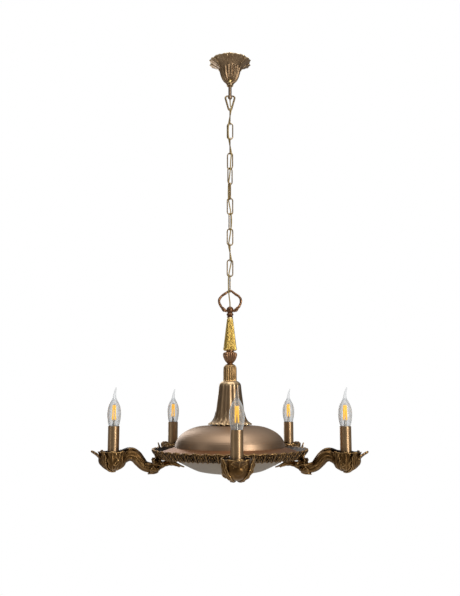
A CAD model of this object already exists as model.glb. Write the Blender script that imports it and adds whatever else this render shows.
"""Five-arm chandelier on a chain: the looks of its castings, chain, cord and lamps."""

import math

import bmesh
import bpy
import numpy as np
from mathutils import Matrix, Vector


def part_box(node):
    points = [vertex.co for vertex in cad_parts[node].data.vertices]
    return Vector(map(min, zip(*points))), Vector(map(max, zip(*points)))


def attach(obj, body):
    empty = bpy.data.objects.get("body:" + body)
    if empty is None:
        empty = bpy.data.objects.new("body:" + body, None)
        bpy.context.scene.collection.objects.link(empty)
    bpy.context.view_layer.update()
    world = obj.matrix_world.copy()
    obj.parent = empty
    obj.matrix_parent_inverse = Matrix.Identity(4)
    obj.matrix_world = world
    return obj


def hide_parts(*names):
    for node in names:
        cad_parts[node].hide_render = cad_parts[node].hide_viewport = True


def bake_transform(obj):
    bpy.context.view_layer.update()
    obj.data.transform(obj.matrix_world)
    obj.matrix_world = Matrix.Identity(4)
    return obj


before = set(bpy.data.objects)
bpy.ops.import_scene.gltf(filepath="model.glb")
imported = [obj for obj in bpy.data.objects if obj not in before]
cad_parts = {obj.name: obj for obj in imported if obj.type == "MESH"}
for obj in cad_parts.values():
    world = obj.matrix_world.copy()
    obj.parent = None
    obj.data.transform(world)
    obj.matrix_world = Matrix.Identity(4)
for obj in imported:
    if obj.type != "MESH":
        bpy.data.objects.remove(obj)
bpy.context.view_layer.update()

MM = 0.001
TAU = 2 * math.pi

# ---- Places, read from the frame ----

ARMS = range(1, 6)
LINKS = range(1, 13)
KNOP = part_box("neck_knop")[0].z / MM + 21  # centre of the knop, in mm


def arm_axis(k):
    """Where the candle of arm k stands, in mm."""
    low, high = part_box(f"candle_sleeve_{k}")
    middle = (low + high) / 2 / MM
    return middle.x, middle.y


NIPPLE_AT = 158  # radius of the circle of nipples that carry the arms
NIPPLE_BEARINGS = [-1 + 72 * i for i in range(5)]  # from the front, towards +X


def arm_place(k):
    """Takes an arm drawn along +X to its nipple, and turns it on that nipple to its candle."""
    bearing = math.radians(NIPPLE_BEARINGS[k - 1] - 90)
    foot = Vector((NIPPLE_AT * math.cos(bearing), NIPPLE_AT * math.sin(bearing), KNOP))
    candle_x, candle_y = arm_axis(k)
    turn = math.atan2(candle_y - foot.y, candle_x - foot.x)
    return Matrix.Translation(foot * MM) @ turn_z(turn) @ Matrix.Translation((-NIPPLE_AT * MM, 0, 0))


ARM_REACH = 307  # x of the candle on an arm as drawn along +X
CUP_SQUASH = 0.93  # width of a cup against its length along the arm
MOUTH = (186, 0, -413.4)  # where the bar leaves the leaf mouth
MOUTH_TILT = math.radians(19)
LAMP_LOW = -294  # height of the lower ring of a lamp's filaments, from the knop

# ---- Objects and nodes ----


def add_object(name, data):
    obj = bpy.data.objects.new(name, data)
    bpy.context.scene.collection.objects.link(obj)
    return obj


def new_material(name):
    """A material, its node tree and its Principled shader."""
    material = bpy.data.materials.new(name)
    material.use_nodes = True
    return material, material.node_tree, material.node_tree.nodes["Principled BSDF"]


def srgb(r, g, b):
    """A colour from 0 to 255 on screen, as the shader wants it."""
    linear = [((c / 255 + 0.055) / 1.055) ** 2.4 if c > 10 else c / 255 / 12.92 for c in (r, g, b)]
    return (*linear, 1)


def add_node(tree, kind, settings=None, **values):
    node = tree.nodes.new("ShaderNode" + kind)
    for name, value in (settings or {}).items():
        setattr(node, name, value)
    for name, value in values.items():
        key = int(name[1:]) if name[0] == "i" and name[1:].isdigit() else name.replace("_", " ")
        if isinstance(value, bpy.types.NodeSocket):
            tree.links.new(value, node.inputs[key])
        else:
            node.inputs[key].default_value = value
    return node


def maths(tree, operation, a, b=0.0, c=0.0):
    return add_node(tree, "Math", {"operation": operation}, i0=a, i1=b, i2=c).outputs[0]


def ramp(tree, value, stops):
    node = add_node(tree, "ValToRGB", i0=value)
    for i, (at, colour) in enumerate(stops):
        stop = node.color_ramp.elements[i] if i < 2 else node.color_ramp.elements.new(at)
        stop.position = at
        stop.color = colour
    return node.outputs[0]


# ---- Camera, lights and floor ----


def add_camera():
    data = bpy.data.cameras.new("camera")
    data.sensor_width = 36
    data.lens = 42.85
    camera = add_object("camera", data)
    camera.location = (0, -1.917, -0.957)
    camera.rotation_euler = (math.pi / 2 + 0.141, 0, 0)
    bpy.context.scene.camera = camera


def add_softbox(name, place, size, power, colour=(1, 1, 1)):
    """A rectangular area light that faces the middle of the body."""
    data = bpy.data.lights.new(name, "AREA")
    data.shape = "RECTANGLE"
    data.size, data.size_y = size
    data.energy = power
    data.color = colour
    light = add_object(name, data)
    light.location = place
    aim = Vector((0, 0, -0.95)) - Vector(place)
    light.rotation_euler = aim.to_track_quat("-Z", "Y").to_euler()


def add_world():
    """A white backdrop to look at, with a dimmer studio for the metal to mirror."""
    world = bpy.data.worlds.new("studio")
    bpy.context.scene.world = world
    world.use_nodes = True
    tree = world.node_tree
    tree.nodes.clear()
    path = add_node(tree, "LightPath")
    seen = maths(tree, "MAXIMUM", path.outputs["Is Camera Ray"], path.outputs["Is Transmission Ray"])
    backdrop = add_node(tree, "Background", Color=(1, 1, 1, 1), Strength=1.0)
    parts = add_node(tree, "SeparateXYZ", i0=add_node(tree, "TexCoord").outputs["Generated"])
    height = add_node(tree, "MapRange", Value=parts.outputs["Z"], From_Min=-1, From_Max=1)
    warm = [(at, (grey, grey * 0.985, grey * 0.96, 1))
            for at, grey in ((0.0, 0.16), (0.42, 0.5), (0.56, 0.06), (0.72, 0.22))]
    stops = [warm[0], (1.0, (1, 1, 1, 1))] + warm[1:]
    room = add_node(tree, "Background", Color=ramp(tree, height.outputs[0], stops))
    mix = add_node(tree, "MixShader", i0=seen, i1=room.outputs[0], i2=backdrop.outputs[0])
    add_node(tree, "OutputWorld", Surface=mix.outputs[0])


def add_floor():
    """A pale round floor below, out of the camera's view."""
    points = [(2.4 * math.cos(a), 2.4 * math.sin(a), -2.5) for a in np.linspace(0, TAU, 65)[:-1]]
    mesh = bpy.data.meshes.new("floor")
    mesh.from_pydata(points, [], [list(range(64))])
    floor = add_object("floor", mesh)
    material, _, surface = new_material("pale_floor")
    surface.inputs["Base Color"].default_value = (0.82, 0.81, 0.79, 1)
    surface.inputs["Roughness"].default_value = 0.7
    mesh.materials.append(material)


bpy.context.scene.view_settings.view_transform = "Standard"
add_camera()
add_world()
add_floor()
add_softbox("key", (1.45, -1.75, -0.55), (0.42, 1.6), 30, (1, 0.97, 0.92))
add_softbox("fill", (-1.9, -1.2, -0.6), (0.3, 1.6), 2.5, (1, 0.98, 0.95))
add_softbox("top", (0.2, -0.5, 0.9), (1.6, 1.6), 15)
add_softbox("back", (-0.9, 1.9, -0.4), (0.7, 1.6), 10)

# ---- Curves and skins. Lengths are in mm. ----


def unit(vectors):
    """Each row made one long."""
    return vectors / np.linalg.norm(vectors, axis=1)[:, None]


def spline(points, steps):
    """A smooth curve (Catmull-Rom) through the points, with steps stretches between each two."""
    p = np.array(points, float)
    p = np.vstack([2 * p[0] - p[1], p, 2 * p[-1] - p[-2]])
    t = np.linspace(0, 1, steps, endpoint=False)[:, None]
    curve = []
    for a, b, c, d in zip(p[:-3], p[1:-2], p[2:-1], p[3:]):
        curve.append(0.5 * (2 * b + (c - a) * t + (2 * a - 5 * b + 4 * c - d) * t**2
                            + (3 * b - 3 * c + d - a) * t**3))
    return np.vstack(curve + [p[-2:-1]])


def evenly(path, count):
    """The same curve with count points at equal distances."""
    along = np.concatenate([[0], np.cumsum(np.linalg.norm(np.diff(path, axis=0), axis=1))])
    at = np.linspace(0, along[-1], count)
    return np.stack([np.interp(at, along, path[:, i]) for i in range(path.shape[1])], axis=1)


def skin(rings, wrap=False):
    """Vertices and faces over closed rings of points. wrap joins the last ring to the first."""
    rings = np.asarray(rings, float)
    n, m = rings.shape[:2]
    verts = rings.reshape(-1, 3)
    i, j = np.meshgrid(np.arange(n if wrap else n - 1), np.arange(m), indexing="ij")
    i2, j2 = (i + 1) % n, (j + 1) % m
    quads = np.stack([i * m + j, i * m + j2, i2 * m + j2, i2 * m + j], axis=-1).reshape(-1, 4)
    faces = quads.tolist()
    if not wrap:
        middle = np.vstack([rings[0].mean(0), rings[-1].mean(0)])
        verts = np.vstack([verts, middle])
        first, last = n * m, n * m + 1
        faces += [[first, (a + 1) % m, a] for a in range(m)]
        faces += [[last, (n - 1) * m + a, (n - 1) * m + (a + 1) % m] for a in range(m)]
    return verts, faces


def joined(*parts):
    """Several (vertices, faces) as one."""
    verts, faces, count = [], [], 0
    for v, f in parts:
        verts.append(np.asarray(v, float))
        faces += [[a + count for a in face] for face in f]
        count += len(v)
    return np.vstack(verts), faces


def moved(part, matrix):
    """A part turned and moved by a 4x4 matrix."""
    v = np.asarray(part[0], float)
    m = np.array(matrix)
    return v @ m[:3, :3].T + m[:3, 3], part[1]


def turn_z(angle):
    return Matrix.Rotation(angle, 4, "Z")


def towards(angle):
    """The level direction at an angle from +X."""
    return np.array([math.cos(angle), math.sin(angle), 0])


def upright(out, *places):
    """Points of the upright plane through out, each from its distance and its height."""
    return [r * out + [0, 0, z] for r, z in places]


def arc(x, z, radius, start, stop, count):
    """Points of an arc in the plane y = 0."""
    angles = np.linspace(start, stop, count)
    return [[x + radius * math.cos(a), 0, z + radius * math.sin(a)] for a in angles]


def tube(path, radii, sides=16, ref=(0, 0, 1), wrap=False, section=None):
    """A round bar along a path. radii is one number, or [sideways, upright] for each point."""
    path = np.asarray(path, float)
    if wrap:
        ahead = np.roll(path, -1, axis=0) - np.roll(path, 1, axis=0)
    else:
        ahead = np.gradient(path, axis=0)
    ahead = unit(ahead)
    side = unit(np.cross(np.array(ref, float), ahead))
    up = np.cross(ahead, side)
    radii = np.array(radii, float)
    if radii.ndim == 0:
        radii = np.full((len(path), 2), radii)
    elif radii.ndim == 1:
        radii = np.stack([radii, radii], axis=1)
    a = np.linspace(0, TAU, sides, endpoint=False)
    u = np.linspace(0, 1, len(path))[:, None]
    swell = 1 if section is None else section(u, a[None, :])
    x = radii[:, :1] * np.cos(a) * swell
    y = radii[:, 1:] * np.sin(a) * swell
    rings = path[:, None] + x[..., None] * side[:, None] + y[..., None] * up[:, None]
    return skin(rings, wrap=wrap)


def turned(outline, sides=96, relief=None, wrap=True):
    """A turned solid from a closed outline of [r, z]. relief(angle, r, z, i) adds to r and z."""
    outline = np.asarray(outline, float)
    a = np.linspace(0, TAU, sides, endpoint=False)[None, :]
    r, z = outline[:, :1] + 0 * a, outline[:, 1:] + 0 * a
    if relief is not None:
        i = np.arange(len(outline))[:, None] + 0 * a
        dr, dz = relief(a + 0 * r, r, z, i)
        r, z = r + dr, z + dz
    rings = np.stack([r * np.cos(a), r * np.sin(a), z], axis=-1)
    return skin(rings, wrap=wrap)


def beside(line, gap):
    """The line moved sideways by gap."""
    ahead = unit(np.gradient(line, axis=0))
    return line + gap * np.stack([-ahead[:, 1], ahead[:, 0]], axis=1)


def leaf(spine, width, face, lobes=4, cut=0.25, rib=0.7, hollow=0.15, thick=1.6, rows=26, columns=15):
    """A cast leaf along a spine. face is the way its front looks. Its edge has lobes, and
    ribs run from the middle vein to each lobe. hollow cups it."""
    spine = evenly(spline(spine, 8), rows)
    ahead = unit(np.gradient(spine, axis=0))
    face = np.asarray(face, float)
    if face.ndim == 1:
        face = np.tile(face, (rows, 1))
    else:
        face = evenly(face, rows)
    side = unit(np.cross(ahead, face))
    up = np.cross(side, ahead)
    u = np.linspace(0, 1, rows)[:, None]
    v = np.linspace(-1, 1, columns)[None, :]
    half = np.interp(u[:, 0], np.linspace(0, 1, len(width)), width)[:, None]
    edge = 1 - cut * (0.5 + 0.5 * np.cos(TAU * lobes * (u - 0.10)))
    across = half * v * (1 + (edge - 1) * np.abs(v) ** 2)
    sweep_back = half * 0.35 * np.abs(v) ** 1.5
    ribs = 0.55 * np.cos(TAU * (lobes * (u - 0.10) - 0.55 * np.abs(v)))
    vein = 1.1 * np.exp(-(v / 0.12) ** 2)
    height = rib * (ribs * np.abs(v) ** 0.5 * (1 - 0.3 * np.abs(v)) + vein)
    height = height + hollow * half * v**2
    taper = np.clip(np.minimum(u / 0.06, (1 - u) / 0.05), 0.25, 1)
    middle = spine[:, None] + across[..., None] * side[:, None]
    middle = middle + sweep_back[..., None] * ahead[:, None]
    front = middle + (height * taper + thick / 2)[..., None] * up[:, None]
    back = middle + (0.5 * height * taper - thick / 2)[..., None] * up[:, None]
    rings = np.concatenate([front, back[:, ::-1]], axis=1)
    return skin(rings)


def volute(centre, radius, wire, turns, plane, start):
    """A scroll that winds in to a round eye, in the plane of two directions."""
    e1, e2 = np.array(plane[0], float), np.array(plane[1], float)
    t = np.linspace(0, 1, 40)[:, None]
    angle = start + TAU * turns * t
    r = radius * (1 - 0.78 * t)
    path = np.array(centre, float) + r * (np.cos(angle) * e1 + np.sin(angle) * e2)
    thick = (wire * (1 - 0.25 * t) * np.clip(t / 0.12, 0.3, 1))[:, 0]
    normal = np.cross(e1, e2)
    return joined(tube(path, thick, 10, ref=normal), ball(centre, wire * 1.25, 10))


def ball(centre, radius, sides=16, squash=(1, 1, 1)):
    """A round boss."""
    a = np.linspace(0.12, math.pi - 0.12, sides // 2 + 1)
    rings = turned(np.stack([radius * np.sin(a), radius * np.cos(a)], axis=1), sides, wrap=False)
    return rings[0] * np.array(squash) + np.array(centre, float), rings[1]


# ---- Objects ----


def build(name, part, material):
    """A mesh object from a part in mm."""
    verts, faces = part
    mesh = bpy.data.meshes.new(name)
    mesh.from_pydata((np.asarray(verts) * MM).tolist(), [], faces)
    mesh.validate()
    mesh.update()
    obj = add_object(name, mesh)
    mesh.materials.append(material)
    outward(obj)
    mesh.polygons.foreach_set("use_smooth", [True] * len(mesh.polygons))
    return obj


def outward(obj):
    """Turns every closed part's faces outwards."""
    work = bmesh.new()
    work.from_mesh(obj.data)
    bmesh.ops.recalc_face_normals(work, faces=work.faces)
    work.to_mesh(obj.data)
    work.free()


def cast(obj, voxel, smooths=2):
    """Fuses overlapping forms into one casting with soft inner corners."""
    remesh = obj.modifiers.new("fuse", "REMESH")
    remesh.mode = "VOXEL"
    remesh.voxel_size = voxel * MM
    remesh.use_smooth_shade = True
    soften = obj.modifiers.new("soften", "SMOOTH")
    soften.factor = 0.5
    soften.iterations = smooths
    apply_all(obj)


def apply_all(obj):
    bpy.context.view_layer.update()
    graph = bpy.context.evaluated_depsgraph_get()
    mesh = bpy.data.meshes.new_from_object(obj.evaluated_get(graph), depsgraph=graph)
    obj.modifiers.clear()
    obj.data = mesh
    mesh.polygons.foreach_set("use_smooth", [True] * len(mesh.polygons))


def rub(obj, gain=1.0, blurs=2):
    """Stores how far each point stands out from those round it, for rubbed edges, dark hollows."""
    mesh = obj.data
    n = len(mesh.vertices)
    co = np.zeros(n * 3)
    no = np.zeros(n * 3)
    mesh.vertices.foreach_get("co", co)
    mesh.vertices.foreach_get("normal", no)
    co, no = co.reshape(-1, 3), no.reshape(-1, 3)
    edges = np.zeros(len(mesh.edges) * 2, int)
    mesh.edges.foreach_get("vertices", edges)
    a, b = edges.reshape(-1, 2).T

    def mean_of(values):
        total = np.zeros_like(values)
        np.add.at(total, a, values[b])
        np.add.at(total, b, values[a])
        return total / count

    count = np.zeros(n)
    np.add.at(count, a, 1)
    np.add.at(count, b, 1)
    count = np.maximum(count, 1)[:, None]
    lengths = np.linalg.norm(co[a] - co[b], axis=1).mean()
    around = co
    for _ in range(blurs + 1):
        around = mean_of(around)
    out = ((co - around) * no).sum(1, keepdims=True) / lengths
    for _ in range(blurs):
        out = 0.5 * out + 0.5 * mean_of(out)
    value = np.clip(0.5 + gain * out[:, 0], 0, 1)
    attribute = mesh.attributes.new("rub", "FLOAT", "POINT")
    attribute.data.foreach_set("value", value.astype(np.float32))


# ---- Materials ----


def finish_shader(tree, surface, colour, shine, height, bump, depth):
    """Links a colour, a roughness and a height to the shader."""
    tree.links.new(colour, surface.inputs["Base Color"])
    tree.links.new(shine.outputs[0], surface.inputs["Roughness"])
    relief = add_node(tree, "Bump", Height=height, Strength=bump, Distance=depth)
    tree.links.new(relief.outputs[0], surface.inputs["Normal"])


def grain_of(tree, grain, fine):
    """Noise that follows how the metal was worked: cast, turned on a lathe, or drawn as a tube."""
    where = add_node(tree, "TexCoord").outputs["Object"]
    if grain == "cast":
        return add_node(tree, "TexNoise", Vector=where, Scale=fine, Detail=4.0, Roughness=0.6).outputs[0]
    parts = add_node(tree, "SeparateXYZ", Vector=where)
    flat = add_node(tree, "CombineXYZ", X=parts.outputs[0], Y=parts.outputs[1])
    reach = add_node(tree, "VectorMath", {"operation": "LENGTH"}, i0=flat.outputs[0]).outputs["Value"]
    if grain == "turned":
        across = maths(tree, "ADD", reach, parts.outputs[2])
        stretched = add_node(tree, "CombineXYZ", X=across,
                             Y=maths(tree, "MULTIPLY", parts.outputs[0], 0.02),
                             Z=maths(tree, "MULTIPLY", parts.outputs[1], 0.02))
    else:
        stretched = add_node(tree, "CombineXYZ", X=parts.outputs[0], Y=parts.outputs[1],
                             Z=maths(tree, "MULTIPLY", parts.outputs[2], 0.05))
    return add_node(tree, "TexNoise", Vector=stretched.outputs[0], Scale=fine, Detail=3.0,
                    Roughness=0.55).outputs[0]


def brass(name, dark, base, bright, rough=0.34, grain="cast", fine=420.0, bump=0.12, worn=True,
          mottle=0.35, patch=38.0, outer=None):
    """Antique brass: dark hollows, a mottled body colour and rubbed edges. outer is a second
    colour with the radius in m beyond which it takes over."""
    material, tree, surface = new_material(name)
    surface.inputs["Metallic"].default_value = 1.0
    where = add_node(tree, "TexCoord").outputs["Object"]
    cloud = add_node(tree, "TexNoise", Vector=where, Scale=patch, Detail=5.0, Roughness=0.6).outputs[0]
    speck = grain_of(tree, grain, fine)
    tone = maths(tree, "MULTIPLY_ADD", maths(tree, "SUBTRACT", cloud, 0.5), mottle, 0.5)
    tone = maths(tree, "MULTIPLY_ADD", maths(tree, "SUBTRACT", speck, 0.5), mottle * 0.25, tone)
    if worn:
        rubbed = add_node(tree, "Attribute", {"attribute_name": "rub"}).outputs["Fac"]
        tone = maths(tree, "ADD", maths(tree, "SUBTRACT", rubbed, 0.5), tone)
    colour = ramp(tree, tone, [(0.12, srgb(*dark)), (0.88, srgb(*bright)), (0.5, srgb(*base))])
    if outer is not None:
        tint, radius = outer
        parts = add_node(tree, "SeparateXYZ", Vector=where)
        flat = add_node(tree, "CombineXYZ", X=parts.outputs[0], Y=parts.outputs[1])
        reach = add_node(tree, "VectorMath", {"operation": "LENGTH"}, i0=flat.outputs[0])
        edge = add_node(tree, "MapRange", Value=reach.outputs["Value"],
                        From_Min=radius - 0.001, From_Max=radius + 0.001)
        mix = add_node(tree, "Mix", {"data_type": "RGBA", "blend_type": "MULTIPLY"}, i0=edge.outputs[0])
        tree.links.new(colour, mix.inputs[6])
        mix.inputs[7].default_value = srgb(*tint)
        colour = mix.outputs[2]
    low, high = rough + 0.16, rough - 0.06
    shine = add_node(tree, "MapRange", Value=tone, From_Min=0.2, From_Max=0.8, To_Min=low, To_Max=high)
    finish_shader(tree, surface, colour, shine, speck, bump, 0.0006)
    return material


def plain(name, colour, rough, metal=0.0, fine=300.0, mottle=0.12, bump=0.05):
    """A moulded, fired or plated surface with a slight unevenness."""
    material, tree, surface = new_material(name)
    surface.inputs["Metallic"].default_value = metal
    where = add_node(tree, "TexCoord").outputs["Object"]
    speck = add_node(tree, "TexNoise", Vector=where, Scale=fine, Detail=3.0).outputs[0]
    low = [c * (1 - mottle) for c in colour]
    high = [min(255, c * (1 + mottle)) for c in colour]
    shade = ramp(tree, speck, [(0.3, srgb(*low)), (0.7, srgb(*high))])
    shine = add_node(tree, "MapRange", Value=speck, To_Min=rough - 0.06, To_Max=rough + 0.08)
    finish_shader(tree, surface, shade, shine, speck, bump, 0.0004)
    return material


def clear_glass():
    """Thin clear glass: it lets light through, and turns grey and shiny towards its outline."""
    material, tree, surface = new_material("lamp_glass")
    surface.inputs["Base Color"].default_value = (0.62, 0.64, 0.66, 1)
    surface.inputs["Roughness"].default_value = 0.12
    surface.inputs["IOR"].default_value = 1.8
    through = add_node(tree, "BsdfTransparent", Color=(0.93, 0.935, 0.94, 1))
    facing = add_node(tree, "LayerWeight", Blend=0.30).outputs["Facing"]
    share = add_node(tree, "MapRange", Value=facing, To_Min=0.07, To_Max=0.88)
    mix = add_node(tree, "MixShader", i0=share.outputs[0], i1=through.outputs[0], i2=surface.outputs[0])
    tree.links.new(mix.outputs[0], tree.nodes["Material Output"].inputs["Surface"])
    return material


def braid():
    """Olive-gold braid: two crossing sets of fine threads."""
    material, tree, surface = new_material("cord_braid")
    where = add_node(tree, "TexCoord").outputs["Object"]
    thread = add_node(tree, "TexNoise", Vector=where, Scale=1500.0, Detail=2.0).outputs[0]
    strand = add_node(tree, "Attribute", {"attribute_name": "strand"}).outputs["Fac"]
    tone = maths(tree, "MULTIPLY_ADD", thread, 0.35, maths(tree, "MULTIPLY", strand, 0.65))
    colour = ramp(tree, tone, [(0.2, srgb(92, 74, 34)), (0.75, srgb(196, 170, 98)),
                               (0.5, srgb(150, 126, 66))])
    tree.links.new(colour, surface.inputs["Base Color"])
    surface.inputs["Roughness"].default_value = 0.62
    surface.inputs["Sheen Weight"].default_value = 0.3
    relief = add_node(tree, "Bump", Height=tone, Strength=0.5, Distance=0.0003)
    tree.links.new(relief.outputs[0], surface.inputs["Normal"])
    return material


ROSE = brass("rose_brass", (40, 28, 18), (140, 116, 90), (214, 190, 150),
             rough=0.36, bump=0.02, mottle=0.14)
STEM = brass("stem_brass", (78, 62, 48), (148, 126, 104), (190, 168, 140),
             grain="drawn", worn=False)
SCREW = brass("screw_brass", (190, 160, 100), (238, 214, 150), (255, 238, 190),
              rough=0.2, worn=False)
CHAIN = brass("chain_brass", (34, 24, 13), (118, 96, 64), (206, 178, 130),
              rough=0.34, bump=0.03, mottle=0.4)
BAIL = brass("bail_bronze", (38, 22, 13), (100, 69, 48), (170, 128, 94),
             rough=0.36, bump=0.25, mottle=0.4)
CONE = brass("cone_brass", (112, 90, 42), (208, 176, 96), (250, 228, 166),
             rough=0.28, bump=0.02, mottle=0.14)
URN = brass("urn_bronze", (58, 36, 22), (140, 102, 74), (212, 172, 132), rough=0.34)
SLEEVE = brass("sleeve_brass", (62, 44, 24), (150, 118, 78), (226, 190, 134), rough=0.32)
SKIRT = brass("skirt_brass", (62, 46, 31), (150, 124, 95), (206, 178, 138), rough=0.33)
DOME = brass("dome_bronze", (122, 100, 80), (158, 132, 108), (186, 160, 134),
             rough=0.4, grain="turned",
             fine=900.0, bump=0.1, worn=False, mottle=0.22, patch=14.0, outer=((224, 190, 158), 0.1462))
BAND = brass("band_brass", (4, 2, 1), (34, 22, 12), (150, 118, 78), rough=0.38, mottle=0.45)
DISH = brass("dish_metal", (122, 111, 99), (148, 136, 123), (170, 157, 143),
             rough=0.42, grain="turned",
             fine=800.0, bump=0.08, worn=False, mottle=0.18, patch=12.0)
ARM = brass("arm_brass", (22, 12, 5), (96, 70, 40), (198, 160, 108), rough=0.34, mottle=0.55)
CANDLE = brass("candle_brass", (92, 72, 50), (160, 132, 100), (196, 168, 130),
               rough=0.3, grain="drawn",
               fine=700.0, bump=0.1, worn=False, mottle=0.35, patch=30.0)
STEEL = plain("zinc_steel", (168, 168, 164), 0.38, metal=1.0)
CERAMIC = plain("lampholder_ceramic", (228, 224, 214), 0.5)
BLOCK = plain("terminal_plastic", (226, 222, 208), 0.45)
CAP = plain("nickel_cap", (188, 184, 176), 0.28, metal=1.0)
PHOSPHOR = plain("filament_phosphor", (252, 190, 44), 0.45, mottle=0.06)
PHOSPHOR.node_tree.nodes["Principled BSDF"].inputs["Emission Color"].default_value = srgb(255, 190, 24)
PHOSPHOR.node_tree.nodes["Principled BSDF"].inputs["Emission Strength"].default_value = 0.9
GLASS = clear_glass()
BRAID = braid()


def darken(obj, depth):
    """Takes the rubbed shine off wherever depth, a function of points in mm, says so."""
    points = np.empty(len(obj.data.vertices) * 3)
    obj.data.vertices.foreach_get("co", points)
    attribute = obj.data.attributes["rub"]
    values = np.empty(len(obj.data.vertices))
    attribute.data.foreach_get("value", values)
    values -= 0.55 * depth(points.reshape(-1, 3) / MM)
    attribute.data.foreach_set("value", values)


def finish_node(name, material):
    """Gives a CAD node its material."""
    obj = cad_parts[name]
    obj.data.materials.clear()
    obj.data.materials.append(material)


for node_name, material in [("ceiling_bracket", STEEL), ("stem_nuts", STEEL), ("stem", STEM),
                            ("rose_terminal_block", BLOCK), ("center_rod", STEEL),
                            ("top_dome", DOME), ("bottom_dish", DISH), ("arm_spider", STEEL),
                            ("clamp_nuts", STEEL), ("branch_terminal_block", BLOCK),
                            ("canopy_lock_screw", SCREW), ("lampholders", CERAMIC)]:
    finish_node(node_name, material)
for k in ARMS:
    finish_node(f"candle_sleeve_{k}", CANDLE)
    finish_node(f"bulb_glass_{k}", GLASS)
    finish_node(f"bulb_cap_{k}", CAP)
    finish_node(f"bulb_filament_{k}", PHOSPHOR)


def stand_in(obj, body, slot, *nodes):
    """The piece takes the place of CAD nodes and rides on their body."""
    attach(obj, body)
    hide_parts(*nodes)


def piece(name, part, material, gain, slot, node, body="fixture"):
    """Builds a piece, rubs its edges and puts it in the place of a CAD node."""
    obj = build(name, part, material)
    rub(obj, gain)
    stand_in(obj, body, slot, node)


def on_body(part):
    """Lifts a part whose heights count from the knop to its place."""
    return moved(part, Matrix.Translation((0, 0, KNOP)))


def column_part(outer, inside, sides, depth):
    """A turned part of the column. depth(angle, r, z) is the relief on its outer line."""
    edge = len(outer)

    def relief(a, r, z, i):
        return np.where(i < edge, depth(a, r, z), 0.0), 0 * r

    return on_body(turned(np.vstack([outer, inside]), sides, relief))


# ---- Ceiling rose ----


def step(value, low, high):
    """0 below low, 1 above high, and smooth between."""
    t = np.clip((value - low) / (high - low), 0, 1)
    return t * t * (3 - 2 * t)


def reeds(angle, count, sharp=0.6):
    """Rounded bars side by side, from -1 in the grooves to 1 on the crests."""
    return 2 * np.abs(np.cos(angle * count / 2)) ** sharp - 1


def closed_outline(outer, wall, spread):
    """A closed outline from an outer line: evenly spaced, with an inner line wall inside it."""
    outer = evenly(outer, spread)
    inner = evenly(beside(outer, wall), spread // 2)
    return np.vstack([outer, inner[::-1]]), spread


def make_rose():
    outer = spline([[9.2, -75], [9.8, -70], [13.5, -64], [18.5, -58.5], [23.5, -50], [26.7, -40],
                    [29, -30], [31.5, -23], [36, -17], [43, -11.5], [51, -6.5], [57, -2.5]], 6)
    outline, edge = closed_outline(outer, 2.2, 70)

    def relief(a, r, z, i):
        front = np.where(i < edge, 1.0, 0.0)
        flute = step(z, -71, -60) * (1 - step(z, -27, -21))
        petal = step(z, -24, -12)
        ruffle = 0.5 - 0.5 * np.cos(8 * a)
        veins = np.cos(24 * a) * np.sin(4 * a) ** 2
        dr = front * flute * (1.5 * np.cos(18 * a) - 0.4)
        dr = dr + petal * (-1.6 * ruffle + 0.6 * np.cos(40 * a) * step(z, -9, -3))
        dz = petal * (-2.8 * ruffle * step(z, -20, -2)) + front * 0.5 * petal * veins
        return dr, dz

    parts = [turned(outline, 480, relief)]
    for i in range(8):
        out = towards((i + 0.5) * TAU / 8)
        down = np.array([0, 0, -1.0])
        spine = upright(out, (31.4, -24.6), (34.0, -20.4), (38.5, -15.6), (46, -10.4), (53, -7.0),
                        (58.0, -5.4))
        parts.append(leaf(spine, [3, 8.5, 12.5, 15.5, 15, 8], [out, 0.8 * out + down, 0.5 * out + down],
                          lobes=3, cut=0.14, rib=0.6, hollow=-0.05, thick=1.6, rows=30, columns=17))
    piece("ceiling_rose", joined(*parts), ROSE, 0.4, "rose_brass", "canopy", "rose")


# ---- Chain ----


def link_place(k):
    """Middle of chain link k, in mm, from its CAD box."""
    low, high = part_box(f"chain_link_{k:02d}")
    return (low + high) / 2 / MM


LINK_TURNS = [90, 0, 90, -20, 40, 100, 10, 70, 0, 90, 0, 90]  # of each link's plane, in degrees
LINK_WIRE = 1.7
LINK_BEND = 7.6
LINK_STRAIGHT = 31.6


def make_link(k):
    """A link bent from wire, with the butt joint open by a hair in its right side."""
    half = LINK_STRAIGHT / 2
    bow = arc(0, half, LINK_BEND, 0, math.pi, 15)
    left = [[-LINK_BEND, 0, z] for z in np.linspace(half, -half, 14)[1:-1]]
    under = arc(0, -half, LINK_BEND, math.pi, TAU, 15)
    right = [[LINK_BEND, 0, z] for z in np.linspace(-half, -1.2, 7)[1:]]
    seam = [[LINK_BEND, 0, z] for z in (-0.5, -0.12, 0.12, 0.5)]
    rest = [[LINK_BEND, 0, z] for z in np.linspace(1.2, half, 7)[:-1]]
    path = np.array(bow + left + under + right + seam + rest)
    radii = np.full(len(path), LINK_WIRE)
    first = len(bow) + len(left) + len(under) + len(right)
    radii[first + 1:first + 3] = LINK_WIRE - 0.35
    radii += 0.03 * np.sin(np.arange(len(path)) * 1.7 + k)
    place = Matrix.Translation(link_place(k)) @ turn_z(math.radians(LINK_TURNS[k - 1]))
    part = moved(tube(path, radii, 14, ref=(0, 1, 0), wrap=True), place)
    piece(f"link_{k:02d}", part, CHAIN, 0.5, "chain_brass", f"chain_link_{k:02d}", f"link_{k:02d}")


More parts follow.
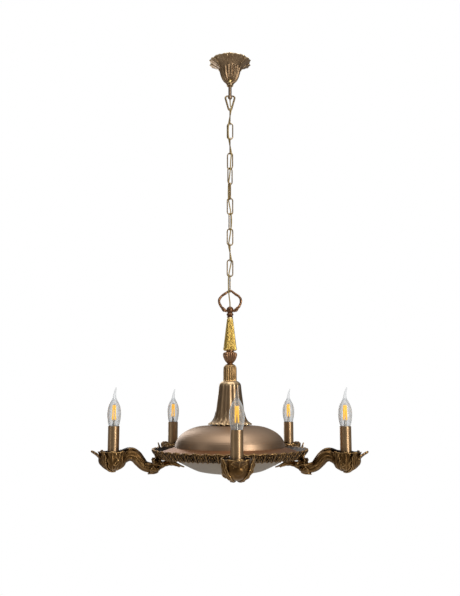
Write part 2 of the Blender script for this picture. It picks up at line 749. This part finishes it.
def make_pear():
    eye_z, half, corner, toe, height, wire = -105.0, 7.0, 6.0, 4.6, 41.5, 2.0
    toe_z = eye_z - height + toe
    apart = math.hypot(half, eye_z - corner - toe_z)
    lean = math.atan2(half, eye_z - corner - toe_z) + math.asin((corner - toe) / apart)
    round_corner = arc(half, eye_z - corner, corner, math.pi / 2, -lean, 12)
    round_toe = arc(0, toe_z, toe, -lean, -math.pi / 2, 9)
    straight = np.linspace(round_corner[-1], round_toe[0], 9)[1:-1].tolist()
    side = round_corner + straight + round_toe
    across = [[x, 0, eye_z] for x in np.linspace(-half, half, 7)[1:-1]]
    path = np.array(side + [[-x, y, z] for x, y, z in side[-2::-1]] + across)
    radii = [wire] * len(path)
    for i in range(6, len(path) - len(across) - 6):
        radii[i] = wire + 0.6
    part = tube(path, radii, 18, ref=(0, 1, 0), wrap=True)
    piece("pear_hook", part, CHAIN, 0.5, "chain_brass", "pear_link", "pear")


# ---- Cord. Its route repeats the CAD model's, in mm. ----

CORD_R = 1.8
CORD_STEP = 0.9
PITCH_HALF = 21.8
JOINT_Z = -144.4
CORD_SIDES = [[3.7, -4.8], [0, -2.5], [-3.7, -3.8], [-5, -4.2], [-3.7, -3.8], [0, -2.2], [3.6, -5],
              [2, -4.8], [1, -4.4], [-1.2, -1], [-4, 1.6], [-4.8, 2.2], [-4.2, 3], [-0.8, -0.2],
              [2.8, -3.3], [4.2, -3.8], [2.6, -3.7], [-0.6, -0.4], [-3.7, 3.7], [0.2, 2.6], [3.7, 3.7],
              [0.2, 0], [-3.7, -3.7], [-4.4, -4.4], [-3.6, -5.2]]
CORD_TOP = [[13, 0, -36], [13, 0, -39], [10.4, 0, -45.3], [5.2, 0, -52.6], [0.7, 0, -59.2], [0, 0, -66],
            [0, 0, -80], [0, 0.2, -87], [0, 3.5, -94], [0, 6.6, -100.5], [0, 7, -106], [0, 6.8, -113],
            [0.6, 3, -124], [1, -2.2, -134]]
CORD_END = [[-2, -2.6, 34], [-0.4, -0.4, 22], [0, 0, 12], [0, 0, 0], [0, 0, -338], [1.5, 0, -346],
            [6, 0, -352], [13, 0, -354], [20, 0, -354]]


def cord_line():
    """The whole route as a smooth line with a point every CORD_STEP."""
    woven = [[x, y, JOINT_Z - i * PITCH_HALF] for i, (x, y) in enumerate(CORD_SIDES)]
    end = [[x, y, z + KNOP] for x, y, z in CORD_END]
    inlet = evenly(np.array(CORD_TOP[:6], float), 12)[:-1]
    route = np.vstack([inlet, CORD_TOP[5:], woven, end[:3]])
    upper = spline(route, 6)
    lower = np.vstack([end[2:5], spline(end[4:], 6)[1:]])
    line = np.vstack([upper, lower[1:]])
    length = np.linalg.norm(np.diff(line, axis=0), axis=1).sum()
    return evenly(line, int(length / CORD_STEP)), length


def make_cord():
    """One length of braided cord in stretches, so that each bends with its joint of the chain."""
    line, length = cord_line()
    print("cord length, mm:", round(length))
    sides = 12
    ahead = unit(np.gradient(line, axis=0))
    side = unit(np.cross([0.2, 1, 0.1], ahead))
    up = np.cross(ahead, side)
    twist = (np.arange(len(line)) * CORD_STEP * 0.9)[:, None]
    a = np.linspace(0, TAU, sides, endpoint=False)
    strand = np.cos(2 * a + twist) * np.cos(2 * a - twist)
    r = (CORD_R - 0.12) + 0.10 * strand
    across = np.cos(a)[:, None] * side[:, None] + np.sin(a)[:, None] * up[:, None]
    rings = line[:, None] + r[..., None] * across
    middles = [link_place(k).z for k in LINKS]
    bodies = ["ceiling_mount", "pear"] + [f"link_{k:02d}" for k in LINKS] + ["fixture"]
    cuts = [-93.0, -124.0] + middles + [KNOP + 22]
    spans = [("ceiling_mount", None, line[0, 2] + 5, cuts[0])]
    for i, body in enumerate(bodies[:-1]):
        spans.append((body, bodies[i + 1], cuts[i], cuts[i + 1]))
    spans.append(("fixture", None, cuts[-1], line[:, 2].min() - 5))
    start = 0
    for n, (body, below, top, bottom) in enumerate(spans):
        if n == len(spans) - 1:
            stop = len(line) - 1
        else:
            stop = start + int(np.argmax(line[start:, 2] <= bottom))
        part = skin(rings[start:stop + 1])
        obj = build(f"cord_{n:02d}", part, BRAID)
        values = (0.5 + 0.5 * strand[start:stop + 1]).ravel().tolist()
        values += [0.5] * (len(obj.data.vertices) - len(values))
        attribute = obj.data.attributes.new("strand", "FLOAT", "POINT")
        attribute.data.foreach_set("value", np.array(values, np.float32))
        if below is None:
            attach(obj, body)
        else:
            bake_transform(obj)
        if n == 0:
            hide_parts("supply_cord")
        start = stop


# ---- Bail, knop and column. Heights count from the knop. ----


def make_bail():
    half = spline([[0, 53], [3.4, 52.4], [8, 48.8], [14.3, 44.2], [22, 39], [27.7, 32.3], [29.8, 24.6],
                   [28.3, 17], [24, 9], [19, 3.7], [13.5, -0.8], [8.6, -4.2]], 8)
    side = np.stack([half[:, 0], 0 * half[:, 0], half[:, 1]], axis=1)
    whole = np.vstack([side[::-1] * [-1, 1, 1], side[1:]])
    whole = evenly(whole, 150)
    near_top = np.clip(1 - np.abs(whole[:, 0]) / 10, 0, 1)
    s = np.arange(len(whole))
    girth = 3.4 - 0.9 * near_top + 0.18 * np.sin(s * 0.35) + 0.14 * np.sin(s * 0.83 + 1.0)
    bark = lambda u, a: 1 + 0.05 * np.cos(3 * a + 40 * u) + 0.03 * np.cos(5 * a - 90 * u)
    parts = [tube(whole, girth, 20, ref=(0, 1, 0), section=bark)]
    for s in (-1, 1):
        for face in (-1, 1):
            spine = [[s * 9.5, face * 1.0, -3.8], [s * 13.5, face * 3.4, -0.6],
                     [s * 17.5, face * 4.0, 2.8], [s * 21.0, face * 3.4, 6.4],
                     [s * 23.2, face * 3.6, 10.2]]
            parts.append(leaf(spine, [2.5, 4.6, 5.4, 4.0, 1.4], [-s * 0.3, face, 0.2], lobes=3, cut=0.3,
                              rib=0.6, hollow=-0.3, thick=1.8, rows=20, columns=11))
        spine = [[s * 12, 0, -4.4], [s * 16.8, 0, -3.6], [s * 20.4, 0, -0.8], [s * 22.8, 0, 3.6]]
        parts.append(leaf(spine, [1.5, 3.6, 3.2, 0.8], [s * 0.4, 0, -1], lobes=2, cut=0.3, rib=0.4,
                          thick=1.2, rows=16, columns=9))
    piece("bail_casting", on_body(joined(*parts)), BAIL, 0.8, "bail_bronze", "suspension_bail")


def make_knop():
    cord_hole, ball_r = 2.5, 9.8
    cap = [[cord_hole, 8.4], [cord_hole, 9.2], [cord_hole + 0.5, 9.5]]
    dome = [[ball_r * math.sin(a), ball_r * math.cos(a)] for a in np.linspace(0.36, 2.35, 34)]
    collar = spline([[7.2, -7.6], [7.0, -8.6], [8.4, -9.6], [9.4, -11.4], [9.4, -13.6], [8.4, -15.2],
                     [7.0, -16.4], [7.2, -17.4], [8.2, -18.4], [8.3, -19.8], [7.8, -21]], 6)
    inside = [[5.2, -21], [5.2, -3.2], [cord_hole, -3.2]]
    outline = np.vstack([cap, dome, collar, inside])

    def beads(a, r, z, i):
        ring = np.exp(-((z + 12.5) / 1.6) ** 2)
        return -0.55 * ring * (0.5 - 0.5 * np.cos(18 * a)), 0 * r

    piece("knop", on_body(turned(outline, 144, beads)), BAIL, 0.8, "bail_bronze", "neck_knop")


def make_cone():
    foot = [[17.3, -104], [17.5, -106.5], [16.9, -109.3], [15.2, -110.8], [12.8, -111]]
    outer = np.vstack([evenly(np.array([[7.7, -21.2], [17, -102]]), 40), spline(foot, 4)])
    inside = [[10, -111], [10, -103.5], [5.2, -60], [5.2, -21.2]]

    def depth(a, r, z):
        reed = 0.055 * r * step(-z, 22.5, 27) * (1 - step(-z, 108.0, 111.2))
        bead = 0.5 * np.exp(-((z + 106.5) / 2.2) ** 2)
        return reed * (reeds(a, 22) - 0.4) + bead * reeds(a, 22)

    part = column_part(outer, inside, 308, depth)
    piece("reeded_cone", part, CONE, 0.7, "cone_brass", "column_cone")


def make_urn():
    outer = spline([[10.5, -111], [10.8, -114], [13.5, -114.8], [16.5, -116], [18.1, -119.5],
                    [17.6, -126], [14.2, -135.5], [9.6, -142.5], [7.4, -145], [7.0, -146]], 6)
    inside = [[5.2, -146], [5.2, -111]]

    def depth(a, r, z):
        swell = step(-z, 114, 119) * (1 - step(-z, 139, 145.5))
        return 0.09 * r * swell * (reeds(a, 18) - 0.35)

    part = column_part(outer, inside, 288, depth)
    piece("gadrooned_urn", part, URN, 0.7, "urn_bronze", "column_urn")


def make_sleeve():
    dome = [[7.6, -146], [10.0, -147.2], [13.4, -149.6], [16.0, -153.4], [17.1, -158.5], [17.3, -164]]
    outer = np.vstack([spline(dome, 5), evenly(np.array([[17.4, -166], [17.5, -193]]), 16)])
    inside = [[14.6, -193], [14.6, -158], [11, -151], [5.2, -149], [5.2, -146]]

    def depth(a, r, z):
        return 0.055 * r * step(-z, 147, 156) * (reeds(a, 20) - 0.4)

    part = column_part(outer, inside, 280, depth)
    piece("reeded_sleeve", part, SLEEVE, 0.7, "sleeve_brass", "column_sleeve")


def make_skirt():
    outer = spline([[15.2, -193], [17.6, -193.4], [22.0, -195.6], [25.6, -199.5], [27.2, -205],
                    [29, -222], [32.5, -249], [35.5, -272], [39.5, -288], [44, -296.5], [50, -303],
                    [55.5, -307.8]], 6)
    outline, edge = closed_outline(outer, 1.9, 84)
    count = 11

    def relief(a, r, z, i):
        front = np.where(i < edge, 1.0, 0.45)
        lobe = step(-z, 194, 203) * (1 - step(-z, 284, 297))
        rim = step(-z, 296, 307)
        dr = front * lobe * (1.0 + 0.035 * r) * (reeds(a, count, 0.75) - 0.25)
        dr = dr + rim * 1.8 * np.cos(2 * count * a)
        return dr, rim * 0.8 * (1 + np.cos(2 * count * a))

    parts = [turned(outline, 264, relief)]
    for i in range(2 * count):
        out = towards((i + 0.5) * TAU / (2 * count))
        up = np.array([0, 0, 1.0])
        long = i % 2
        spine = upright(out, (36.5 + 0.5 * long, 5 * long - 277), (40.8, 2 * long - 289),
                        (46.5, -297.5), (53, -304.2), (57.6, -306.4 - 0.6 * long))
        parts.append(leaf(spine, [2.2, 5.4, 6.6, 7.4, 3.0], [out, 0.9 * out + 0.5 * up, 0.5 * out + up],
                          lobes=3, cut=0.3, rib=1.0, hollow=-0.25, thick=1.5, rows=24, columns=11))
    piece("lobed_skirt", on_body(joined(*parts)), SKIRT, 0.8, "skirt_brass", "column_skirt")


# ---- Body ----


def make_band():
    """A cast ring with a seat for the dome, whose face flares out as a gallery of leaves."""
    lip = spline([[183.2, -392.6], [187.5, -389.8], [192.5, -385], [197.4, -379.8], [201.4, -375],
                  [203.8, -371.2]], 5)
    back = lip[::-1] + [-2.4, 1.5]
    seat = [[181, -388.8], [174.5, -388.8], [174.5, -376.9], [168, -376.9], [168, -389], [152, -389]]
    ring = np.vstack([[[152, -393], [168, -393], [180, -393]], lip, back, seat])
    face = len(lip)
    count = 44

    def lobes(a, r, z, i):
        flare = step(r, 184, 204) * (i < 3 + 2 * face)
        wave = np.cos(count * a)
        return flare * 0.8 * wave, flare * (1.5 * wave + 0.3 * np.cos(3 * count * a))

    parts = [turned(ring, count * 9, lobes)]
    for i in range(count):
        out = towards(i * TAU / count)
        face_way = [out - [0, 0, 0.9], out - [0, 0, 0.9], out - [0, 0, 0.7]]
        spine = upright(out, (184.4, -393.4), (189.4, -390.2), (194.6, -385.4), (199.2, -380.2),
                        (202.8, -375.2), (205.0, -370.4))
        parts.append(leaf(spine, [3.2, 6.2, 8.6, 10.2, 9.6, 4.6], face_way, lobes=3, cut=0.26, rib=1.6,
                          hollow=-0.16, thick=2.2, rows=22, columns=13))
        out = towards((i + 0.5) * TAU / count)
        spine = upright(out, (185.0, -393.2), (190.4, -389.4), (195.8, -384.2), (200.2, -378.6))
        parts.append(leaf(spine, [2.6, 4.2, 4.2, 1.6], face_way, lobes=2, cut=0.4, rib=1.0, hollow=0.25,
                          thick=1.8, rows=16, columns=9))
        parts.append(ball(187.2 * out - [0, 0, 391.2], 2.3, 8))
    piece("leaf_gallery", on_body(joined(*parts)), BAND, 1.0, "band_brass", "leaf_band")


def make_cap_nut():
    cap = [[0.3, -450], [3, -449.9], [6.4, -448.2], [8.4, -444.5], [8.8, -440.2]]
    outline = np.vstack([spline(cap, 6),
                         [[8.9, -438.6], [11.2, -438.2], [11.6, -437.2], [11.5, -435.8], [5.1, -435.8],
                          [5.1, -446], [0.3, -446]]])

    def knurl(a, r, z, i):
        return np.where((r > 10) & (z < -436), 0.3 * (reeds(a, 36) - 0.5), 0.0), 0 * r

    piece("finial_nut", on_body(turned(outline, 216, knurl)), ARM, 0.8, "arm_brass", "bottom_cap_nut")


# ---- Arms. The casting is made once, along +X, and turned to each arm's place. ----


def arm_body():
    """The S-shaped bar with long ridges, and the boss that holds it under the band."""
    spine = spline([[124, -414], [135, -410], [147, -404.5], [160, -401.5], [174, -404], [188, -409.5],
                    [200, -412.5], [212, -413.5], [228, -408.5], [240, -396], [251, -384], [266, -380],
                    [280, -385], [293, -393]], 8)
    girth = spline([[1.6, 3.5], [2.6, 6], [3.8, 8], [6, 9], [7, 9.5], [9, 11], [11.5, 12], [12.5, 12.5],
                    [12.5, 12.5], [14.2, 14.8], [15.0, 15.6], [15.2, 15.4], [15.8, 15.8], [17, 17]], 8)
    path = np.stack([spine[:, 0], 0 * spine[:, 0], spine[:, 1]], axis=1)
    ridged = lambda u, a: 1 + 0.085 * step(u, 0.45, 0.6) * (reeds(a + 1.4 * u, 6, 0.9) - 0.2)
    return tube(path, girth, 72, ref=(0, 1, 0), section=ridged)


def arm_cup():
    """The bulb with the wax pan in its top, round the candle's axis."""
    outer = spline([[1, -419], [11, -418.2], [21.5, -414], [29.5, -406.5], [34.5, -396], [35.5, -386],
                    [36, -378], [38.5, -371.5]], 6)
    inner = spline([[36.6, -370.8], [32.4, -378], [29.5, -386], [24, -391], [18, -392]], 5)
    outline = np.vstack([outer, inner, [[5.3, -392], [5.3, -406], [1, -406]]])

    def relief(a, r, z, i):
        swirl = np.cos(5 * a + 0.11 * (z + 395)) * step(-z, 372, 384) * (1 - step(-z, 408, 417))
        rim = (1 - step(-z, 371, 386)) * np.cos(9 * a)
        return np.where(i < len(outer) + 8, 0.7 * swirl + 0.9 * rim, 0.0), 0.7 * rim

    place = Matrix.Translation((ARM_REACH, 0, 0)) @ Matrix.Diagonal((1, CUP_SQUASH, 1, 1))
    return moved(turned(outline, 180, relief), place)


def cup_leaves():
    """Acanthus leaves that wrap the cup, a long one that flares out past the rim, and the
    round knob below it with a leaf up each side."""
    parts = []
    base = np.array([ARM_REACH, 0, 0])
    rise = np.array([0, 0, 1.0])
    for degrees, tip, width in ((84, 38, 14), (-84, 38, 14), (126, 39, 13), (-126, 39, 13)):
        out = towards(math.radians(degrees))
        flat = out * [1, 0.91, 1]
        spine = base + upright(flat, (13, -418), (23.5, -413.2), (31.5, -405), (35.6, -394),
                               (36.2, -382), (tip, -369.5))
        face = [0.3 * out - rise, 0.8 * out - 0.8 * rise, out - 0.3 * rise, out, out, out - 0.5 * rise]
        parts.append(leaf(spine, [4, 8, 0.9 * width, width, width, 0.8 * width, 3.5], face, lobes=3.4,
                          cut=0.22, rib=1.3, hollow=-0.05, thick=1.8, rows=44, columns=19))
    lip = [base + x * np.array([1, 0, 0]) + z * rise for x, z in
           ((30, -392), (36.5, -383), (43.5, -376.8), (50, -372.6), (54.6, -370.0))]
    parts.append(leaf(lip, [15, 19, 18, 13, 4], [[1, 0, -1], [0.7, 0, -1], [0.4, 0, -1]], lobes=3,
                      cut=0.26, rib=1.3, hollow=-0.10, thick=4.4, rows=36, columns=25))
    for s in (-1, 1):
        spine = [[300, s * 3, -421], [313, s * 10, -420], [325, s * 19, -411], [330, s * 27.5, -397.5],
                 [331, s * 32.0, -383], [334, s * 35.0, -370]]
        face = [[0.2, 0, -1], [0.5, s * 0.4, -0.8], [0.8, s * 0.7, -0.3], [0.7, s * 0.8, 0.1]]
        parts.append(leaf(spine, [2.5, 5, 6.5, 7.5, 7.5, 3.5], face, lobes=5, cut=0.26, rib=1.3,
                          hollow=0.12, thick=2.4, rows=40, columns=19))
        parts.append(volute([304, s * 31.8, -398], 9.0, 2.4, 1.35, ((1, 0.05 * s, 0), (0, 0, 1)), 0.6))
    parts.append(ball([327.5, 0, -392.5], 16.6, 40, (1, 1.04, 1.02)))
    return parts


def arm_leaves():
    """Leaves that run from the cup over the crest and along both sides of the bar."""
    parts = []
    crest = [[297, 0, -374.0], [284, 0, -368.4], [270, 0, -363.8], [256, 0, -364.6], [244, 0, -371.5],
             [234, 0, -382]]
    parts.append(leaf(crest, [8, 10.5, 11, 9.5, 6, 2], [[0.3, 0, 1], [0, 0, 1], [-0.6, 0, 0.8]], lobes=3,
                      cut=0.25, rib=1.2, hollow=-0.16, thick=1.8, rows=44, columns=17))
    for s in (-1, 1):
        side = [[304, s * 22, -404], [292, s * 18.2, -397], [279, s * 16.4, -387], [264, s * 15.8, -381],
                [250, s * 15.2, -386], [240, s * 14.6, -397], [229, s * 13.6, -407]]
        parts.append(leaf(side, [10, 10.5, 10, 9, 8, 6.5, 2], [0, s, 0.1], lobes=4, cut=0.25, rib=1.4,
                          hollow=-0.15, thick=1.8, rows=56, columns=15))
    return parts


def leaf_mouth():
    """The open calyx that the bar grows out of, with a scroll on each side and a tail below."""
    outer = spline([[6, 0], [11, 2.5], [15.5, 6.5], [19, 12], [21, 17.5], [23.6, 23.5]], 5)
    inner = spline([[22, 23.6], [18.8, 18], [16.8, 13], [13, 8.2], [6, 5]], 5)

    def scallops(a, r, z, i):
        lip = step(z, 8, 23)
        lobe = 0.5 + 0.5 * np.cos(6 * a)
        groove = 0.6 * np.cos(12 * a) * step(z, 3, 9)
        return (0.9 * lip * np.cos(6 * a) + 0.7 * lip * np.cos(18 * a) - groove,
                lip * (3.6 * lobe - 2.2 + 0.6 * np.cos(18 * a)))

    bowl = turned(np.vstack([outer, inner]), 168, scallops)
    place = Matrix.Translation(MOUTH) @ Matrix.Rotation(math.pi / 2 - MOUTH_TILT, 4, "Y")
    parts = [moved(bowl, place)]
    for degrees in (0, 60, 120, 180, 240, 300):
        out = towards(math.radians(degrees))
        spine = upright(out, (11.5, 1), (16.5, 5.5), (20.4, 12), (22.6, 18.5), (25.6, 25.5))
        petal = leaf(spine, [3, 6.5, 8.5, 9, 3], out, lobes=3, cut=0.3, rib=0.9, hollow=-0.18, thick=1.8,
                     rows=24, columns=13)
        parts.append(moved(petal, place))
    for s in (-1, 1):
        parts.append(volute([186.5, s * 15.5, -401.5], 8.8, 3.0, 1.3, ((-1, 0, 0), (0, 0, 1)), 1.2))
        parts.append(ball([186.5, s * 16.0, -401.5], 3.6, 12, (1, 1.3, 1)))
        tail = [[192, s * 9, -416.5], [183, s * 8.5, -412.5], [173, s * 7.5, -408.5],
                [161, s * 5.5, -407], [148, s * 3.6, -409], [137, s * 2.0, -413.5]]
        parts.append(leaf(tail, [5, 6, 6, 5, 3.6, 1.2], [0, s * 0.6, -1], lobes=5, cut=0.35, rib=0.9,
                          hollow=-0.15, thick=2.4, rows=40, columns=13))
    return parts


def arm_boss():
    """Boss and nipple that pass up through the band."""
    boss = turned([[0.5, -404], [5.6, -404], [5.6, -393.1], [5, -393], [5, -380.6], [4.4, -380],
                   [0.5, -380]], 40)
    return moved(boss, Matrix.Translation((NIPPLE_AT, 0, 0)))


def in_arm_hollow(points):
    """How deep in shade a point in mm lies: 1 inside the wax pan and the leaf mouth."""
    from_candle = np.hypot(points[:, 0] - ARM_REACH, points[:, 1] / CUP_SQUASH)
    wall = np.interp(points[:, 2], [-392, -386, -378, -371], [25.5, 30.6, 33.4, 37])
    pan = (from_candle < wall) & (points[:, 2] > -393)
    away = points - MOUTH
    along = away[:, 0] * math.cos(MOUTH_TILT) + away[:, 2] * math.sin(MOUTH_TILT)
    across = np.sqrt(np.maximum((away**2).sum(1) - along**2, 0))
    mouth = (along > 6) & (along < 24) & (across < 17 + 0.12 * along) & (across > 13.6)
    return (pan | mouth).astype(float)


def make_arms():
    whole = joined(arm_body(), arm_cup(), *cup_leaves(), *arm_leaves(), *leaf_mouth(), arm_boss())
    pattern = build("arm_pattern", whole, ARM)
    cast(pattern, 0.85, 4)
    rub(pattern, 0.75, 2)
    darken(pattern, in_arm_hollow)
    for k in ARMS:
        mesh = pattern.data.copy()
        mesh.transform(arm_place(k))
        arm = add_object(f"arm_casting_{k}", mesh)
        stand_in(arm, "fixture", "arm_brass", f"arm_{k}")
    bpy.data.objects.remove(pattern)


def make_filaments(k):
    """Four coated rods between two wire rings, on a glass mount."""
    rods, wires = [], []
    for i in range(4):
        a = TAU * (i + 0.25) / 4
        low = 5.2 * towards(a) + [0, 0, LAMP_LOW + 1.5]
        high = 3.4 * towards(a + 0.5) + [0, 0, LAMP_LOW + 39]
        line = evenly(np.array([low, high]), 12)
        rods.append(tube(line, [1.0] + [1.6] * 10 + [1.0], 12, ref=(0, 1, 0)))
        for end, way in ((low, -1), (high, 1)):
            stub = np.array([end, end + [0, 0, 1.2 * way],
                             [end[0] * 0.5, end[1] * 0.5, end[2] + 2.6 * way],
                             [0, 0, end[2] + 2.8 * way]])
            wires.append(tube(spline(stub, 4), 0.32, 8, ref=(0.3, 1, 0)))
    post = [[0, 0, LAMP_LOW - 21], [0, 0, LAMP_LOW - 8], [0, 0, LAMP_LOW - 4], [0, 0, LAMP_LOW + 42]]
    girth = np.interp(np.arange(40), [0, 6, 12, 16, 40], [4.4, 4.0, 2.4, 0.6, 0.6])
    mount = tube(evenly(np.array(post, float), 40), girth, 14, ref=(0, 1, 0))
    x, y = arm_axis(k)
    place = Matrix.Translation((x, y, KNOP)) @ turn_z(0.35)
    coated = build(f"filament_{k}", moved(joined(*rods), place), PHOSPHOR)
    stand_in(coated, f"bulb_{k}", "filament", f"bulb_filament_{k}")
    leads = build(f"filament_leads_{k}", moved(joined(mount, *wires), place), CAP)
    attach(leads, f"bulb_{k}")


make_rose()
make_pear()
for k in LINKS:
    make_link(k)
make_cord()
make_bail()
make_knop()
make_cone()
make_urn()
make_sleeve()
make_skirt()
make_band()
make_cap_nut()
make_arms()
for k in ARMS:
    make_filaments(k)
